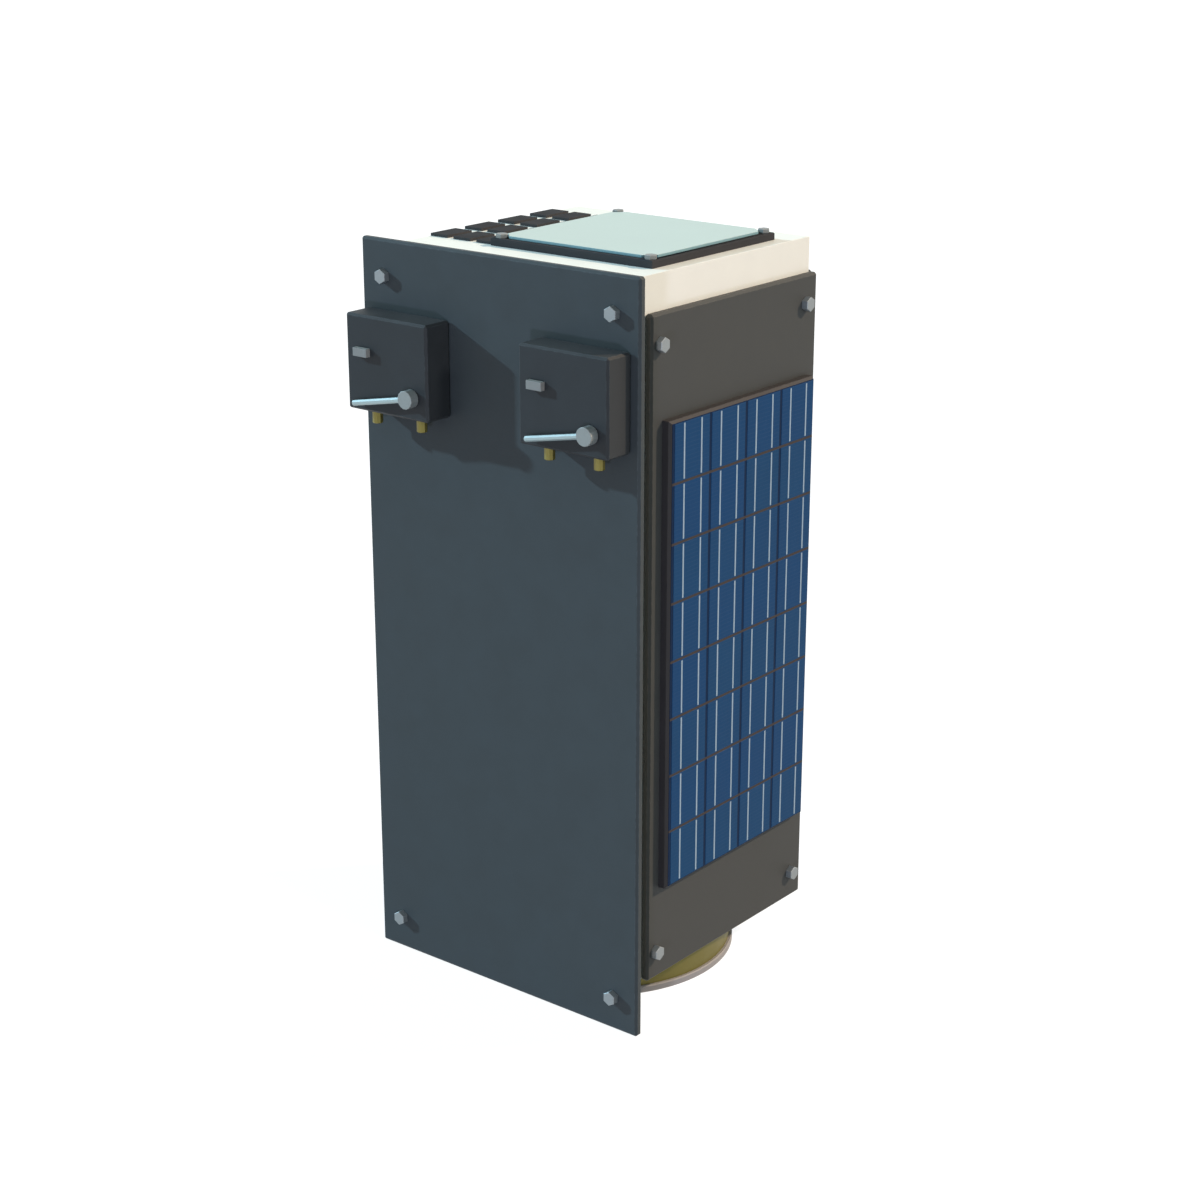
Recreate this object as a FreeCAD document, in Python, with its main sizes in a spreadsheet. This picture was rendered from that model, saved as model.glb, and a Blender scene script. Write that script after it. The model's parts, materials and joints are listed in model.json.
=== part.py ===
import FreeCAD, Part

import os
import re

import Sketcher

# A small box-shaped satellite of the two-unit class, in millimetres.
# +Z is up and -Y is the front. The origin is the centre of the mounting ring's underside.
# The sides share one local frame: "along" runs across the side, "out" points away from
# the body's axis and "up" is +Z. A side's turn carries the front onto it.

SIZES = [
    # name, millimetres or degrees
    ("body_width", 86.5),
    ("body_height", 207.9),
    ("flange_margin", 1.41),
    ("flange_thickness", 2.0),
    ("flange_bevel", 0.3),
    ("neck_margin", 2.45),
    ("neck_height", 10.0),
    ("ring_bolt_inset", 6.8),
    ("ring_bolt_hole_radius", 1.6),
    ("ring_thread_radius", 1.25),
    ("ring_thread_depth", 7.0),
    ("front_plate_overhang", 7.1),
    ("front_plate_rim", 2.1),
    ("side_plate_margin_front", 8.25),
    ("side_plate_overhang_rear", 0.65),
    ("side_plate_drop", 10.1),
    ("rear_plate_margin", 0.3),
    ("plate_thickness", 2.65),
    ("plate_bevel", 0.65),
    ("plate_bolt_flats", 3.8),
    ("plate_bolt_head", 2.0),
    ("plate_bolt_shank_radius", 1.0),
    ("plate_bolt_clearance", 0.1),
    ("front_bolt_edge", 1.65),
    ("front_bolt_inset_end", 10.5),
    ("side_bolt_inset_front", 3.5),
    ("side_bolt_inset_rear", 5.85),
    ("side_bolt_inset_bottom", 8.65),
    ("side_bolt_inset_top", 8.45),
    ("solar_inset_front", 4.8),
    ("solar_inset_rear", 4.2),
    ("solar_inset_side", 4.65),
    ("solar_inset_bottom", 29.0),
    ("solar_inset_top", 29.7),
    ("solar_column_gap", 1.1),
    ("solar_row_gap", 0.75),
    ("solar_front_margin", 1.8),
    ("solar_rear_margin", 0.85),
    ("solar_rim", 1.0),
    ("solar_board_thickness", 2.9),
    ("solar_board_bevel", 0.75),
    ("solar_cell_thickness", 0.2),
    ("switch_left_margin", 2.6),
    ("switch_right_margin", 2.85),
    ("switch_drop", 20.05),
    ("switch_width", 30.9),
    ("switch_height", 27.8),
    ("switch_depth", 9.9),
    ("switch_bevel", 0.6),
    ("stop_block_width", 5.25),
    ("stop_block_height", 2.45),
    ("stop_block_depth", 1.7),
    ("stop_block_offset", 8.7),
    ("stop_block_rise", 16.05),
    ("terminal_radius", 1.55),
    ("terminal_length", 4.35),
    ("terminal_spread", 17.27),
    ("pivot_offset", 9.8),
    ("pivot_rise", 6.55),
    ("pivot_radius", 0.8),
    ("pivot_seat_depth", 3.0),
    ("pivot_seat_clearance", 0.02),
    ("hub_radius", 2.65),
    ("hub_length", 3.1),
    ("hub_cap", 0.8),
    ("hub_face_gap", 0.25),
    ("hub_bore_clearance", 0.05),
    ("lever_radius", 0.85),
    ("lever_reach", 21.8),
    ("lever_seat_depth", 1.2),
    ("lever_seat_clearance", 0.02),
    ("lever_droop", 11.4),
    ("antenna_width", 57.7),
    ("antenna_frame_height", 2.15),
    ("antenna_bevel", 0.3),
    ("antenna_margin_right", 4.6),
    ("antenna_margin_rear", 11.2),
    ("glass_inset", 2.0),
    ("glass_thickness", 0.8),
    ("antenna_bolt_flats", 3.1),
    ("antenna_bolt_head", 1.2),
    ("antenna_bolt_shank_radius", 0.8),
    ("antenna_bolt_inset", 2.3),
    ("antenna_bolt_clearance", 0.1),
    ("tile_pitch_across", 8.8),
    ("tile_pitch_back", 14.78),
    ("tile_width", 6.52),
    ("tile_length", 10.68),
    ("tile_frame_gap", 0.15),
    ("tile_thickness", 0.84),
    ("tile_margin_side", 0.22),
    ("tile_margin_front", 18.69),
]

SOLAR_COLUMNS = 4
SOLAR_ROWS = 8
TILE_ROWS = 4
RING_BOLTS = 4

ACROSS = FreeCAD.Vector(1, 0, 0)
BACK = FreeCAD.Vector(0, 1, 0)
UP = FreeCAD.Vector(0, 0, 1)

# How a side's "along" and "out" distances become x and y, and its turn about +Z.
SIDES = {
    "front": {"turn": 0, "x": "{along}", "y": "-({out})"},
    "right": {"turn": 90, "x": "{out}", "y": "{along}"},
    "left": {"turn": -90, "x": "-({out})", "y": "-({along})"},
    "rear": {"turn": 180, "x": "-({along})", "y": "{out}"},
}

doc = FreeCAD.newDocument("satellite")


def make_sheet():
    """The sheet that holds every driving size under its own name."""
    sheet = doc.addObject("Spreadsheet::Sheet", "sizes")
    for row, (name, value) in enumerate(SIZES, start=1):
        sheet.set(f"A{row}", name)
        sheet.set(f"B{row}", str(value))
        sheet.setAlias(f"B{row}", name)
    doc.recompute()
    return sheet


sheet = make_sheet()


def bound(text):
    """An expression in which each size's name stands for its cell in the sheet."""
    names = {name for name, _ in SIZES}
    return re.sub(r"[a-z_]+", lambda word: f"sizes.{word[0]}" if word[0] in names else word[0], text)


def bind(thing, **sizes):
    """Bind properties of an object to expressions in the sheet's names."""
    for name, text in sizes.items():
        thing.setExpression(name, bound(text))


def set_down(thing, x="0", y="0", z="0", turn=None):
    """Turn an object, then bind its place."""
    thing.Placement = FreeCAD.Placement(FreeCAD.Vector(), turn or FreeCAD.Rotation())
    for axis, text in (("x", x), ("y", y), ("z", z)):
        thing.setExpression(f"Placement.Base.{axis}", bound(text))


def on_side(thing, side, along="0", out="0", up="0", turn=None):
    """Place an object by its distances on one side of the body."""
    about_up = FreeCAD.Rotation(UP, SIDES[side]["turn"])
    set_down(
        thing,
        x=SIDES[side]["x"].format(along=along, out=out),
        y=SIDES[side]["y"].format(along=along, out=out),
        z=up,
        turn=about_up.multiply(turn) if turn else about_up,
    )


def new_body(node):
    body = doc.addObject("PartDesign::Body", node)
    body.Label = node
    return body


def origin_feature(body, role):
    for feature in body.Origin.OriginFeatures:
        if feature.Role == role:
            return feature
    raise ValueError(f"{body.Label} has no {role}")


def new_sketch(body, name, plane):
    sketch = body.newObject("Sketcher::SketchObject", f"{body.Label}_{name}")
    sketch.AttachmentSupport = (origin_feature(body, plane), [""])
    sketch.MapMode = "FlatFace"
    return sketch


def constrain(sketch, kind, *where, size):
    """Add a dimension to a sketch and bind it."""
    number = sketch.addConstraint(Sketcher.Constraint(kind, *where, 1.0))
    sketch.setExpression(f"Constraints[{number}]", bound(size))


def outline(sketch, corners):
    """A closed outline of straight runs through corners given as (x, y) expressions."""
    count = len(corners)
    turn = FreeCAD.Rotation(UP, 360 / count)
    corner = FreeCAD.Vector(1, 0, 0)
    for _ in corners:
        after = turn.multVec(corner)
        sketch.addGeometry(Part.LineSegment(corner, after))
        corner = after
    for run in range(count):
        sketch.addConstraint(Sketcher.Constraint("Coincident", run, 2, (run + 1) % count, 1))
    for run, (x, y) in enumerate(corners):
        constrain(sketch, "DistanceX", -1, 1, run, 1, size=x)
        constrain(sketch, "DistanceY", -1, 1, run, 1, size=y)


def rectangle(sketch, left, bottom, width, height):
    """A rectangle from its lower left corner."""
    right = f"{left} + {width}"
    top = f"{bottom} + {height}"
    outline(sketch, [(left, bottom), (right, bottom), (right, top), (left, top)])


def circle(sketch, x, y, radius):
    number = sketch.addGeometry(Part.Circle(FreeCAD.Vector(1, 1, 0), UP, 1.0))
    constrain(sketch, "DistanceX", -1, 1, number, 3, size=x)
    constrain(sketch, "DistanceY", -1, 1, number, 3, size=y)
    constrain(sketch, "Radius", number, size=radius)


def pad(body, sketch, length):
    feature = body.newObject("PartDesign::Pad", f"{sketch.Label}_pad")
    feature.Profile = sketch
    bind(feature, Length=length)
    doc.recompute()
    return feature


def pocket(body, sketch, length=None, reverse=False):
    """Cut a sketch out of a body, to a depth or right through, and make sure that it cut."""
    before = body.Shape.Volume
    feature = body.newObject("PartDesign::Pocket", f"{sketch.Label}_pocket")
    feature.Profile = sketch
    feature.Reversed = reverse
    if length:
        bind(feature, Length=length)
    else:
        feature.Type = "ThroughAll"
    doc.recompute()
    if not body.Shape.Volume < before:
        raise ValueError(f"{feature.Label} cuts nothing")
    return feature


def edges_where(shape, test):
    return [f"Edge{number}" for number, edge in enumerate(shape.Edges, start=1) if test(edge)]


def every_edge(edge):
    return True


def lies_at(axis, place):
    def test(edge):
        box = edge.BoundBox
        low = FreeCAD.Vector(box.XMin, box.YMin, box.ZMin).dot(axis)
        high = FreeCAD.Vector(box.XMax, box.YMax, box.ZMax).dot(axis)
        return abs(low - place) < 1e-4 and abs(high - place) < 1e-4
    return test


def bevel_edges(body, feature, size, test):
    bevel = body.newObject("PartDesign::Chamfer", f"{feature.Label}_bevel")
    bevel.Base = (feature, edges_where(feature.Shape, test))
    bind(bevel, Size=size)
    doc.recompute()


def grid(body, feature, sketch, columns, column_pitch, rows, row_pitch):
    """Repeat a feature in columns and rows along its sketch's axes."""
    both = body.newObject("PartDesign::MultiTransform", f"{feature.Label}_grid")
    both.Originals = [feature]
    body.Tip = both
    patterns = []
    for axis, count, pitch in (("H_Axis", columns, column_pitch), ("V_Axis", rows, row_pitch)):
        if count == 1:
            continue
        pattern = body.newObject("PartDesign::LinearPattern", f"{feature.Label}_{axis}")
        pattern.Direction = (sketch, [axis])
        pattern.Occurrences = count
        bind(pattern, Length=f"( {pitch} ) * {count - 1}")
        patterns.append(pattern)
    both.Transformations = patterns
    body.Tip = both
    doc.recompute()
    return both


def box(name, width, depth, height):
    thing = doc.addObject("Part::Box", name)
    bind(thing, Length=width, Width=depth, Height=height)
    return thing


def rod(name, radius, length):
    thing = doc.addObject("Part::Cylinder", name)
    bind(thing, Radius=radius, Height=length)
    return thing


def hexagon(name, flats, height):
    thing = doc.addObject("Part::Prism", name)
    thing.Polygon = 6
    bind(thing, Circumradius=f"{flats} / sqrt(3)", Height=height)
    return thing


def cut(name, base, tool):
    thing = doc.addObject("Part::Cut", name)
    thing.Base = base
    thing.Tool = tool
    return thing


def gather(node, pieces):
    """One node of several solids."""
    thing = doc.addObject("Part::Compound", node)
    thing.Label = node
    thing.Links = pieces
    return thing


# ---------------------------------------------------------------- places that pieces share

BODY_HALF = "body_width / 2"
BODY_BOTTOM = "( flange_thickness + neck_height )"
BODY_TOP = f"( {BODY_BOTTOM} + body_height )"
PLATE_FACE = f"( {BODY_HALF} + plate_thickness )"
PLATE_HOLE_RADIUS = "plate_bolt_shank_radius + plate_bolt_clearance"
SIDE_PLATE_LOW = f"( side_plate_margin_front - {BODY_HALF} )"
SIDE_PLATE_HIGH = f"( side_plate_overhang_rear + {BODY_HALF} )"
SIDE_PLATE_HEIGHT = "( body_height - side_plate_drop )"

# Each plate: its two ends along the side, its bottom and height, and the bolts' insets from
# those two ends and from its bottom and top.
SIDE_PLATE = {
    "bottom": BODY_BOTTOM,
    "height": SIDE_PLATE_HEIGHT,
    "bolt_bottom": "side_bolt_inset_bottom",
    "bolt_top": "side_bolt_inset_top",
}
PLATES = {
    "front": {
        "low": f"( -{BODY_HALF} - front_plate_overhang )",
        "high": f"( {BODY_HALF} + front_plate_overhang )",
        "bottom": "0",
        "height": f"( {BODY_TOP} + front_plate_rim )",
        "bolt_low": "( front_plate_overhang + front_bolt_edge )",
        "bolt_high": "( front_plate_overhang + front_bolt_edge )",
        "bolt_bottom": "front_bolt_inset_end",
        "bolt_top": "front_bolt_inset_end",
    },
    "right": {
        **SIDE_PLATE,
        "low": SIDE_PLATE_LOW,
        "high": SIDE_PLATE_HIGH,
        "bolt_low": "side_bolt_inset_front",
        "bolt_high": "side_bolt_inset_rear",
    },
    "left": {
        **SIDE_PLATE,
        "low": f"( -{SIDE_PLATE_HIGH} )",
        "high": f"( -{SIDE_PLATE_LOW} )",
        "bolt_low": "side_bolt_inset_rear",
        "bolt_high": "side_bolt_inset_front",
    },
    "rear": {
        **SIDE_PLATE,
        "low": f"( rear_plate_margin - {BODY_HALF} )",
        "high": f"( {BODY_HALF} - rear_plate_margin )",
        "bolt_low": "side_bolt_inset_rear",
        "bolt_high": "side_bolt_inset_rear",
    },
}


# ---------------------------------------------------------------- housing

def make_housing():
    """The white housing, a plain square block."""
    body = new_body("body_shell")
    sketch = new_sketch(body, "plan", "XY_Plane")
    rectangle(sketch, f"-{BODY_HALF}", f"-{BODY_HALF}", "body_width", "body_width")
    pad(body, sketch, "body_height")
    set_down(body, z=BODY_BOTTOM)


# ---------------------------------------------------------------- plates and their bolts

def bolt_places(plate):
    """The four bolt places of a plate, along its side and up from its bottom."""
    low = f"{plate['low']} + {plate['bolt_low']}"
    high = f"{plate['high']} - {plate['bolt_high']}"
    bottom = plate["bolt_bottom"]
    top = f"{plate['height']} - {plate['bolt_top']}"
    return [(low, bottom), (high, bottom), (low, top), (high, top)]


def make_plate(side):
    plate = PLATES[side]
    body = new_body(f"{side}_plate")
    sketch = new_sketch(body, "outline", "XZ_Plane")
    width = f"( {plate['high']} - {plate['low']} )"
    rectangle(sketch, plate["low"], "0", width, plate["height"])
    slab = pad(body, sketch, "plate_thickness")
    bevel_edges(body, slab, "plate_bevel", every_edge)
    holes = new_sketch(body, "holes", "XZ_Plane")
    for along, up in bolt_places(plate):
        circle(holes, along, up, PLATE_HOLE_RADIUS)
    pocket(body, holes, reverse=True)
    on_side(body, side, out=BODY_HALF, up=plate["bottom"])


def make_plate_bolts(side):
    """Four hexagon-head bolts, each with a point of its head upwards."""
    plate = PLATES[side]
    outward = FreeCAD.Rotation(UP, -ACROSS, -BACK, "ZXY")
    pieces = []
    for number, (along, up) in enumerate(bolt_places(plate), start=1):
        place = {"along": along, "up": f"{up} + {plate['bottom']}", "turn": outward}
        head = hexagon(f"{side}_head_{number}", "plate_bolt_flats", "plate_bolt_head")
        on_side(head, side, out=PLATE_FACE, **place)
        shank = rod(f"{side}_shank_{number}", "plate_bolt_shank_radius", "plate_thickness")
        on_side(shank, side, out=BODY_HALF, **place)
        bolt = doc.addObject("Part::Fuse", f"{side}_bolt_{number}")
        bolt.Base = head
        bolt.Tool = shank
        pieces.append(bolt)
    gather(f"{side}_plate_bolts", pieces)


# ---------------------------------------------------------------- solar modules

BOARD_OUTER = f"( {PLATE_FACE} + solar_board_thickness )"
MODULE_RISE = f"( {BODY_BOTTOM} + solar_inset_bottom )"
MODULE_HEIGHT = f"( {SIDE_PLATE_HEIGHT} - solar_inset_bottom - solar_inset_top )"
ROW_PITCH = f"( ( {MODULE_HEIGHT} - 2 * solar_rim + solar_row_gap ) / {SOLAR_ROWS} )"

# Each module: what it leaves free at the low and high end of its plate, and the bare board
# at its low end. The wide margin is at the front, so it changes ends on the left side.
MODULES = {
    "right": {
        "free_low": "solar_inset_front",
        "free_high": "solar_inset_rear",
        "margin": "solar_front_margin",
    },
    "left": {
        "free_low": "solar_inset_rear",
        "free_high": "solar_inset_front",
        "margin": "solar_rear_margin",
    },
    "rear": {
        "free_low": "solar_inset_side",
        "free_high": "solar_inset_side",
        "margin": "( solar_front_margin + solar_rear_margin ) / 2",
    },
}


def module_span(side):
    """A module's low end along its side, and its width."""
    low = f"( {PLATES[side]['low']} + {MODULES[side]['free_low']} )"
    high = f"( {PLATES[side]['high']} - {MODULES[side]['free_high']} )"
    return low, f"( {high} - {low} )"


def make_solar_panel(side):
    """The dark backing board of a solar module."""
    low, width = module_span(side)
    body = new_body(f"{side}_solar_panel")
    sketch = new_sketch(body, "outline", "XZ_Plane")
    rectangle(sketch, "0", "0", width, MODULE_HEIGHT)
    board = pad(body, sketch, "solar_board_thickness")
    outer_face = lies_at(BACK, -sheet.solar_board_thickness)
    bevel_edges(body, board, "solar_board_bevel", outer_face)
    on_side(body, side, along=low, out=PLATE_FACE, up=MODULE_RISE)


def make_solar_cells(side):
    """The cells of a solar module, one solid each."""
    low, width = module_span(side)
    covered = f"( {width} - solar_front_margin - solar_rear_margin )"
    column_pitch = f"( ( {covered} + solar_column_gap ) / {SOLAR_COLUMNS} )"
    body = new_body(f"{side}_solar_cells")
    sketch = new_sketch(body, "cell", "XZ_Plane")
    rectangle(
        sketch,
        MODULES[side]["margin"],
        "solar_rim",
        f"{column_pitch} - solar_column_gap",
        f"{ROW_PITCH} - solar_row_gap",
    )
    cell = pad(body, sketch, "solar_cell_thickness")
    grid(body, cell, sketch, SOLAR_COLUMNS, column_pitch, SOLAR_ROWS, ROW_PITCH)
    on_side(body, side, along=low, out=BOARD_OUTER, up=MODULE_RISE)


# ---------------------------------------------------------------- deployment switches

SWITCH_FACE = f"( {PLATE_FACE} + switch_depth )"
SWITCH_RISE = f"( {PLATES['front']['height']} - switch_drop - switch_height )"

# The centre of each switch along the front.
SWITCH_CENTRES = {
    "left": f"( {PLATES['front']['low']} + switch_left_margin + switch_width / 2 )",
    "right": f"( {PLATES['front']['high']} - switch_right_margin - switch_width / 2 )",
}


def pivot_place(hand):
    """The pivot's place along the front and its height."""
    return f"{SWITCH_CENTRES[hand]} + pivot_offset", f"{SWITCH_RISE} + pivot_rise"


def make_switch_case(hand):
    """A bevelled box on the front plate, drilled for its pivot pin."""
    body = new_body(f"{hand}_switch_case")
    sketch = new_sketch(body, "outline", "XZ_Plane")
    rectangle(sketch, "-switch_width / 2", "0", "switch_width", "switch_height")
    case = pad(body, sketch, "switch_depth")
    bevel_edges(body, case, "switch_bevel", every_edge)
    seat = new_sketch(body, "pin_seat", "XZ_Plane")
    seat.setExpression("AttachmentOffset.Base.z", bound("switch_depth"))
    circle(seat, "pivot_offset", "pivot_rise", "pivot_radius + pivot_seat_clearance")
    pocket(body, seat, "pivot_seat_depth")
    on_side(body, "front", along=SWITCH_CENTRES[hand], out=PLATE_FACE, up=SWITCH_RISE)


def make_stop_block(hand):
    """The small block above the lever's tip."""
    block = box(f"{hand}_switch_block", "stop_block_width", "stop_block_depth", "stop_block_height")
    on_side(
        block,
        "front",
        along=f"{SWITCH_CENTRES[hand]} - stop_block_offset - stop_block_width / 2",
        out=f"{SWITCH_FACE} + stop_block_depth",
        up=f"{SWITCH_RISE} + stop_block_rise",
    )


def make_terminals(hand):
    """Two posts under the case, half way through its depth."""
    pieces = []
    for number, sign in enumerate(("-", "+"), start=1):
        post = rod(f"{hand}_post_{number}", "terminal_radius", "terminal_length")
        on_side(
            post,
            "front",
            along=f"{SWITCH_CENTRES[hand]} {sign} terminal_spread / 2",
            out=f"{PLATE_FACE} + switch_depth / 2",
            up=f"{SWITCH_RISE} - terminal_length",
        )
        pieces.append(post)
    gather(f"{hand}_switch_terminals", pieces)


def make_pivot_pin(hand):
    """The fixed pin that stands out of the case and carries the lever's hub."""
    along, up = pivot_place(hand)
    reach = "pivot_seat_depth + hub_length - hub_cap"
    pin = rod(f"{hand}_pivot_pin", "pivot_radius", reach)
    forward = FreeCAD.Rotation(ACROSS, 90)
    on_side(pin, "front", along=along, out=f"{SWITCH_FACE} - pivot_seat_depth", up=up, turn=forward)


HUB_BACK = f"{SWITCH_FACE} + hub_face_gap"
LEVER_PLANE = f"{HUB_BACK} + hub_length / 2"


def lever_socket(name, hand, radius, seat, end):
    """A rod along the lever's line, between two distances from the pivot's axis."""
    along, up = pivot_place(hand)
    thing = rod(name, radius, f"{end} - ( {seat} )")
    on_side(
        thing,
        "front",
        along=f"{along} - ( {seat} ) * cos( lever_droop * 1 deg )",
        out=LEVER_PLANE,
        up=f"{up} - ( {seat} ) * sin( lever_droop * 1 deg )",
        turn=FreeCAD.Rotation(BACK, -90),
    )
    thing.setExpression("Placement.Rotation.Angle", bound("-( 90 + lever_droop )"))
    return thing


def make_lever_hub(hand):
    """A capped hub with a blind bore for its pin and a socket for its lever."""
    along, up = pivot_place(hand)
    body = new_body(f"{hand}_hub_turned")
    sketch = new_sketch(body, "disc", "XZ_Plane")
    circle(sketch, "0", "0", "hub_radius")
    pad(body, sketch, "hub_length")
    bore = new_sketch(body, "bore", "XZ_Plane")
    circle(bore, "0", "0", "pivot_radius + hub_bore_clearance")
    pocket(body, bore, "hub_length - hub_cap", reverse=True)
    on_side(body, "front", along=along, out=HUB_BACK, up=up)
    socket = lever_socket(
        f"{hand}_socket",
        hand,
        "lever_radius + lever_seat_clearance",
        "hub_radius - lever_seat_depth",
        "hub_radius + lever_radius",
    )
    hub = cut(f"{hand}_lever_hub", body, socket)
    hub.Label = f"{hand}_lever_hub"


def make_lever_rod(hand):
    """The lever itself, seated in the hub's socket."""
    node = f"{hand}_lever_rod"
    lever = lever_socket(node, hand, "lever_radius", "hub_radius - lever_seat_depth", "lever_reach")
    lever.Label = node


# ---------------------------------------------------------------- mounting ring

FLANGE_RADIUS = f"( {BODY_HALF} - flange_margin )"
NECK_RADIUS = f"( {BODY_HALF} - neck_margin )"
BOLT_CIRCLE_RADIUS = f"( {NECK_RADIUS} - ring_bolt_inset )"


def ring_holes(body, radius, length=None):
    """Bolt holes on a circle, drilled up from a disc's underside."""
    sketch = new_sketch(body, "bolt_hole", "XY_Plane")
    circle(sketch, BOLT_CIRCLE_RADIUS, "0", radius)
    hole = pocket(body, sketch, length, reverse=True)
    pattern = body.newObject("PartDesign::PolarPattern", f"{body.Label}_bolt_holes")
    pattern.Originals = [hole]
    pattern.Axis = (sketch, ["N_Axis"])
    pattern.Angle = 360
    pattern.Occurrences = RING_BOLTS
    body.Tip = pattern
    doc.recompute()


def make_base():
    """The flange that the satellite stands on and the collar above it."""
    flange = new_body("base_flange")
    sketch = new_sketch(flange, "disc", "XY_Plane")
    circle(sketch, "0", "0", FLANGE_RADIUS)
    disc = pad(flange, sketch, "flange_thickness")
    bevel_edges(flange, disc, "flange_bevel", lies_at(UP, sheet.flange_thickness))
    ring_holes(flange, "ring_bolt_hole_radius")
    set_down(flange)

    neck = new_body("base_neck")
    sketch = new_sketch(neck, "disc", "XY_Plane")
    circle(sketch, "0", "0", NECK_RADIUS)
    pad(neck, sketch, "neck_height")
    ring_holes(neck, "ring_thread_radius", "ring_thread_depth")
    set_down(neck, z="flange_thickness")


# ---------------------------------------------------------------- top deck

FRAME_TOP = f"( {BODY_TOP} + antenna_frame_height )"
ANTENNA_ACROSS = f"( {BODY_HALF} - antenna_margin_right - antenna_width / 2 )"
ANTENNA_BACK = f"( {BODY_HALF} - antenna_margin_rear - antenna_width / 2 )"
ANTENNA_BOLT_REACH = "( antenna_width / 2 - antenna_bolt_inset )"


def make_antenna_frame():
    """The square base of the patch antenna, drilled for its bolts."""
    body = new_body("antenna_frame")
    sketch = new_sketch(body, "square", "XY_Plane")
    corner = "-antenna_width / 2"
    rectangle(sketch, corner, corner, "antenna_width", "antenna_width")
    slab = pad(body, sketch, "antenna_frame_height")
    bevel_edges(body, slab, "antenna_bevel", lies_at(UP, sheet.antenna_frame_height))
    holes = new_sketch(body, "holes", "XY_Plane")
    for x_sign, y_sign in (("-", "-"), ("", "-"), ("-", ""), ("", "")):
        circle(
            holes,
            f"{x_sign}{ANTENNA_BOLT_REACH}",
            f"{y_sign}{ANTENNA_BOLT_REACH}",
            "antenna_bolt_shank_radius + antenna_bolt_clearance",
        )
    pocket(body, holes, reverse=True)
    set_down(body, ANTENNA_ACROSS, ANTENNA_BACK, BODY_TOP)


def make_antenna_glass():
    """The glass on the frame, its corners cut to clear the bolts' heads."""
    body = new_body("antenna_glass")
    sketch = new_sketch(body, "square", "XY_Plane")
    edge = "( antenna_width / 2 - glass_inset )"
    head_radius = "antenna_bolt_flats / sqrt(3)"
    corner_cut = (
        f"( sqrt(2) * ( {head_radius} + antenna_bolt_clearance )"
        " + 2 * ( antenna_bolt_inset - glass_inset ) )"
    )
    near = f"( {edge} - {corner_cut} )"
    outline(sketch, [
        (edge, f"-{near}"), (edge, near), (near, edge), (f"-{near}", edge),
        (f"-{edge}", near), (f"-{edge}", f"-{near}"), (f"-{near}", f"-{edge}"), (near, f"-{edge}"),
    ])
    pad(body, sketch, "glass_thickness")
    set_down(body, ANTENNA_ACROSS, ANTENNA_BACK, FRAME_TOP)


def make_antenna_bolts():
    """Four upright hexagon-head bolts at the frame's corners."""
    pieces = []
    for number, (x_sign, y_sign) in enumerate((("-", "-"), ("+", "-"), ("-", "+"), ("+", "+")), 1):
        x = f"{ANTENNA_ACROSS} {x_sign} {ANTENNA_BOLT_REACH}"
        y = f"{ANTENNA_BACK} {y_sign} {ANTENNA_BOLT_REACH}"
        head = hexagon(f"antenna_head_{number}", "antenna_bolt_flats", "antenna_bolt_head")
        set_down(head, x, y, FRAME_TOP)
        shank = rod(f"antenna_shank_{number}", "antenna_bolt_shank_radius", "antenna_frame_height")
        set_down(shank, x, y, BODY_TOP)
        bolt = doc.addObject("Part::Fuse", f"antenna_bolt_{number}")
        bolt.Base = head
        bolt.Tool = shank
        pieces.append(bolt)
    gather("antenna_bolts", pieces)


def make_deck_tiles():
    """Rows of thin tiles from the deck's left edge to the antenna's frame.

    Whole columns come first, and a narrower one fills what is left beside the frame."""
    body = new_body("deck_tiles")
    left = f"( tile_margin_side - {BODY_HALF} )"
    front = f"( tile_margin_front - {BODY_HALF} )"
    field = sheet.body_width - sheet.antenna_margin_right - sheet.antenna_width
    whole_columns = int((field - sheet.tile_margin_side) // sheet.tile_pitch_across)
    last_left = f"( {left} + {whole_columns} * tile_pitch_across )"
    last_width = f"{ANTENNA_ACROSS} - antenna_width / 2 - tile_frame_gap - {last_left}"
    for name, start, width, columns in (
        ("whole", left, "tile_width", whole_columns),
        ("narrow", last_left, last_width, 1),
    ):
        sketch = new_sketch(body, name, "XY_Plane")
        rectangle(sketch, start, front, width, "tile_length")
        tile = pad(body, sketch, "tile_thickness")
        grid(body, tile, sketch, columns, "tile_pitch_across", TILE_ROWS, "tile_pitch_back")
    set_down(body, z=BODY_TOP)


# ---------------------------------------------------------------- the whole part

def make_all():
    make_housing()
    for side in PLATES:
        make_plate(side)
        make_plate_bolts(side)
    for side in MODULES:
        make_solar_panel(side)
        make_solar_cells(side)
    for hand in ("left", "right"):
        make_switch_case(hand)
        make_stop_block(hand)
        make_terminals(hand)
        make_pivot_pin(hand)
        make_lever_hub(hand)
        make_lever_rod(hand)
    make_base()
    make_antenna_frame()
    make_antenna_glass()
    make_antenna_bolts()
    make_deck_tiles()
    doc.recompute()


NODES = (
    ["body_shell", "base_flange", "base_neck"]
    + [f"{side}_{piece}" for side in PLATES for piece in ("plate", "plate_bolts")]
    + [f"{side}_{piece}" for side in MODULES for piece in ("solar_panel", "solar_cells")]
    + [
        f"{hand}_{piece}"
        for hand in ("left", "right")
        for piece in (
            "switch_case", "switch_block", "switch_terminals",
            "pivot_pin", "lever_hub", "lever_rod",
        )
    ]
    + ["antenna_frame", "antenna_glass", "antenna_bolts", "deck_tiles"]
)


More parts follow.
